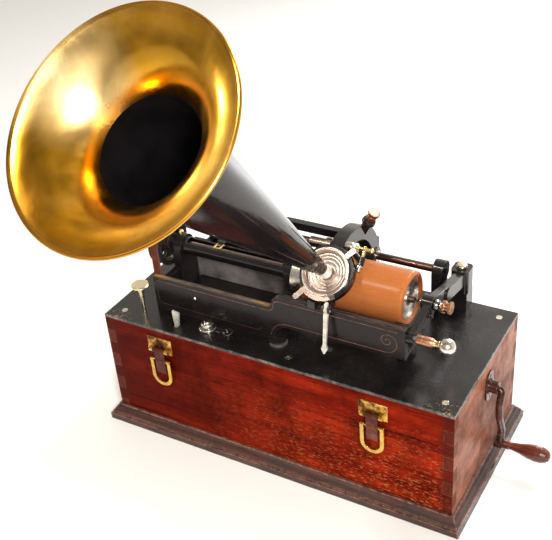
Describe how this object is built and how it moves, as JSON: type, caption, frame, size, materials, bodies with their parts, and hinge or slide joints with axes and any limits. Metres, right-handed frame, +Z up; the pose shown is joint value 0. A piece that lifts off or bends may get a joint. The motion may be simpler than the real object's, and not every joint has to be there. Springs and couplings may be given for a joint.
{
  "type": "wind-up phonograph",
  "caption": "Spring-driven cylinder phonograph with a wooden case, belt-driven mandrel, sliding reproducer carriage, conical horn with a flared bell, and side crank.",
  "frame": {"origin": "centre of the case's underside, on the surface it stands on", "axes": "+Z up, +X right along the front towards the crank, -Y towards the front"},
  "size_m": [0.4691, 0.4426, 0.5405],
  "materials": {
    "case_wood": "varnished red hardwood",
    "inner_wood": "plain softwood",
    "moulding_wood": "dark stained hardwood",
    "handle_wood": "turned and varnished",
    "black_enamel": "gloss black enamel",
    "nickel": "nickel plate, worn",
    "brass": "polished brass",
    "copper_knurl": "knurled copper colour",
    "catch_steel": "lacquered steel",
    "crank_iron": "brown oxidised iron",
    "steel": "bright steel",
    "motor_iron": "japanned iron",
    "governor_brass": "plain brass",
    "wax": "moulded brown wax",
    "belt_leather": "oiled leather",
    "mica": "mica sheet"
  },
  "bodies": {
    "case": {"case_front_panel": "case_wood", "case_rear_panel": "case_wood", "case_left_panel": "case_wood", "case_right_panel": "case_wood", "case_bottom_board": "inner_wood", "case_cleats": "inner_wood", "base_moulding": "moulding_wood", "bedplate": "black_enamel", "bedplate_screws": "nickel", "catch_plates": "brass", "crank_escutcheon": "crank_iron", "bed_casting": "black_enamel", "bearing_bush": "brass", "feed_screw_cover": "black_enamel", "rod_bracket": "black_enamel", "back_rod": "steel", "motor_plate_left": "motor_iron", "motor_plate_middle": "motor_iron", "motor_plate_right": "motor_iron", "motor_pillars": "steel", "drive_belt": "belt_leather"},
    "mandrel_shaft": {"feed_screw": "steel", "mandrel": "nickel", "belt_pulley": "black_enamel", "record_cylinder": "wax"},
    "motor_pulley_shaft": {"motor_pulley": "black_enamel", "pulley_shaft": "steel"},
    "second_arbor": {"second_arbor": "steel"},
    "barrel": {"spring_barrel": "brass", "mainspring": "steel"},
    "winding_arbor": {"spring_arbor": "steel"},
    "governor": {"governor_shaft": "steel", "governor_weights": "governor_brass"},
    "crank": {"crank_shaft": "steel", "crank_arm": "crank_iron"},
    "handle": {"crank_handle": "handle_wood"},
    "carriage_slider": {"carriage_sleeve": "nickel"},
    "carriage": {"carriage_arm": "black_enamel", "half_nut": "black_enamel", "reproducer_body": "nickel", "reproducer_ring": "nickel", "diaphragm": "mica", "shaver": "nickel"},
    "horn": {"horn_neck": "nickel", "horn_cone": "black_enamel", "horn_bell": "brass"},
    "stylus": {"stylus_weight": "nickel"},
    "carriage_lever": {"lift_lever": "nickel"},
    "carriage_screw": {"set_screw": "copper_knurl"},
    "shaver_thumbscrew": {"shaver_screw": "brass"},
    "gate": {"gate_arm": "black_enamel"},
    "gate_screw": {"centre_screw": "copper_knurl"},
    "gate_latch": {"latch_plunger": "nickel"},
    "speed_control": {"speed_screw": "nickel"},
    "start_control": {"start_knob": "nickel"},
    "brake": {"brake_lever": "nickel"},
    "left_catch": {"catch_lever_left": "catch_steel"},
    "right_catch": {"catch_lever_right": "catch_steel"},
    "left_loop": {"catch_loop_left": "brass"},
    "right_loop": {"catch_loop_right": "brass"}
  },
  "joints": [
    {"name": "crank_turn", "type": "hinge", "parent": "case", "child": "crank", "pos_m": [0.198, 0.003, 0.1095], "axis": [1, 0, 0], "continuous": true},
    {"name": "handle_spin", "type": "hinge", "parent": "crank", "child": "handle", "pos_m": [0.215, 0.018, 0.027], "axis": [1, 0, 0], "continuous": true},
    {"name": "arbor_wind", "type": "hinge", "parent": "case", "child": "winding_arbor", "pos_m": [0.03, 0.0086, 0.078], "axis": [1, 0, 0], "continuous": true},
    {"name": "mandrel_spin", "type": "hinge", "parent": "case", "child": "mandrel_shaft", "pos_m": [0, -0.0047, 0.195], "axis": [1, 0, 0], "continuous": true},
    {"name": "motor_pulley_turn", "type": "hinge", "parent": "case", "child": "motor_pulley_shaft", "pos_m": [-0.165, -0.0047, 0.06453], "axis": [1, 0, 0], "continuous": true},
    {"name": "second_arbor_turn", "type": "hinge", "parent": "case", "child": "second_arbor", "pos_m": [0, -0.041, 0.052], "axis": [1, 0, 0], "continuous": true},
    {"name": "barrel_turn", "type": "hinge", "parent": "case", "child": "barrel", "pos_m": [0.014, 0.0086, 0.078], "axis": [1, 0, 0], "continuous": true},
    {"name": "governor_turn", "type": "hinge", "parent": "case", "child": "governor", "pos_m": [-0.088, 0.022, 0.05373], "axis": [1, 0, 0], "continuous": true},
    {"name": "carriage_travel", "type": "slide", "parent": "case", "child": "carriage_slider", "axis": [1, 0, 0], "range_m": [-0.028, 0.058]},
    {"name": "carriage_lift", "type": "hinge", "parent": "carriage_slider", "child": "carriage", "pos_m": [0.045, 0.062, 0.1895], "axis": [-1, 0, 0], "range_deg": [0, 12]},
    {"name": "lift_lever_swing", "type": "hinge", "parent": "carriage", "child": "carriage_lever", "pos_m": [0.0575, -0.06, 0.1995], "axis": [-1, 0, 0], "range_deg": [-8, 90]},
    {"name": "stylus_weight_swing", "type": "hinge", "parent": "carriage", "child": "stylus", "pos_m": [0.04634, -0.01669, 0.22727], "axis": [-0.9988, 0.0489, 0], "range_deg": [0, 3]},
    {"name": "horn_pull", "type": "slide", "parent": "carriage", "child": "horn", "axis": [-0.0339, -0.6938, 0.7193], "range_m": [0, 0.05]},
    {"name": "set_screw_turn", "type": "hinge", "parent": "carriage", "child": "carriage_screw", "pos_m": [0.048, 0.04, 0.229], "axis": [0.5, 0, 0.866], "continuous": true},
    {"name": "shaver_screw_turn", "type": "hinge", "parent": "carriage", "child": "shaver_thumbscrew", "pos_m": [0.073, -0.0055, 0.2395], "axis": [0, -0.7193, -0.6947], "continuous": true},
    {"name": "gate_swing", "type": "hinge", "parent": "case", "child": "gate", "pos_m": [0.14, 0.079, 0.171], "axis": [0, 0, 1], "range_deg": [0, 95]},
    {"name": "centre_screw_turn", "type": "hinge", "parent": "gate", "child": "gate_screw", "pos_m": [0.14, -0.0047, 0.195], "axis": [1, 0, 0], "continuous": true},
    {"name": "gate_latch_slide", "type": "slide", "parent": "gate", "child": "gate_latch", "axis": [1, 0, 0], "range_m": [0, 0.006], "stiffness_N_per_m": 400, "springref_m": -0.005},
    {"name": "speed_screw_turn", "type": "hinge", "parent": "case", "child": "speed_control", "pos_m": [-0.163, -0.0636, 0.141], "axis": [0, 0, 1], "continuous": true},
    {"name": "start_knob_turn", "type": "hinge", "parent": "case", "child": "start_control", "pos_m": [-0.08, -0.0655, 0.141], "axis": [0, 0, 1], "range_deg": [-45, 0]},
    {"name": "brake_lever_rock", "type": "hinge", "parent": "case", "child": "brake", "pos_m": [-0.116, -0.07, 0.131], "axis": [1, 0, 0], "range_deg": [-12, 12]},
    {"name": "left_catch_swing", "type": "hinge", "parent": "case", "child": "left_catch", "pos_m": [-0.128, -0.0916, 0.116], "axis": [-1, 0, 0], "range_deg": [0, 100]},
    {"name": "right_catch_swing", "type": "hinge", "parent": "case", "child": "right_catch", "pos_m": [0.1175, -0.0916, 0.116], "axis": [-1, 0, 0], "range_deg": [0, 100]},
    {"name": "left_loop_swing", "type": "hinge", "parent": "left_catch", "child": "left_loop", "pos_m": [-0.128, -0.0916, 0.103], "axis": [-1, 0, 0], "range_deg": [0, 60]},
    {"name": "right_loop_swing", "type": "hinge", "parent": "right_catch", "child": "right_loop", "pos_m": [0.1175, -0.0916, 0.103], "axis": [-1, 0, 0], "range_deg": [0, 60]}
  ],
  "couplings": [
    {"joint": "arbor_wind", "follows": "crank_turn", "ratio": -0.33333},
    {"joint": "motor_pulley_turn", "follows": "mandrel_spin", "ratio": 1},
    {"joint": "second_arbor_turn", "follows": "mandrel_spin", "ratio": -0.2},
    {"joint": "barrel_turn", "follows": "mandrel_spin", "ratio": 0.033333},
    {"joint": "governor_turn", "follows": "mandrel_spin", "ratio": -5}
  ]
}
